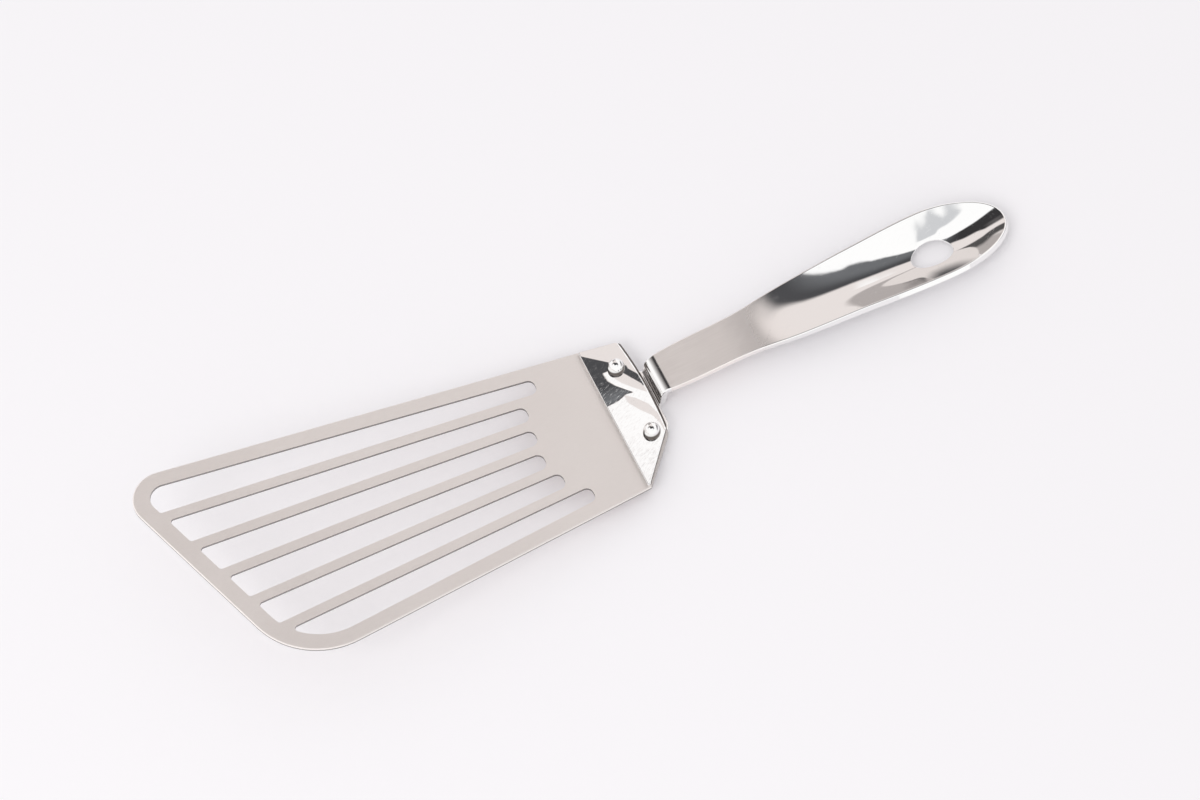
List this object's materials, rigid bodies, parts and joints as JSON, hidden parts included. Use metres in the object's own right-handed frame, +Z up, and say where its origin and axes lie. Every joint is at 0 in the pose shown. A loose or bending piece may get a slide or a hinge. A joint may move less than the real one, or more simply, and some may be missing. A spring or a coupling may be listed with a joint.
{
  "type": "fish spatula",
  "caption": "Slotted metal fish spatula: a flared, skewed blade riveted to a bent strip handle that ends in a trough-shaped grip with a hanging hole.",
  "frame": {"origin": "centre of the footprint, on the floor that the heel and the handle's end rest on", "axes": "+X from the blade to the handle, +Y to the blade's long side, +Z up"},
  "size_m": [0.3136, 0.0869, 0.0294],
  "materials": {
    "satin_steel": "fine satin, brushed along the bars",
    "polished_steel": "mirror polish with fine scratches, satin on the handle's flat strip"
  },
  "bodies": {
    "root": {"blade": "satin_steel", "cover_plate": "polished_steel", "handle": "polished_steel", "rivet_long_side": "polished_steel", "rivet_short_side": "polished_steel"}
  },
  "joints": []
}
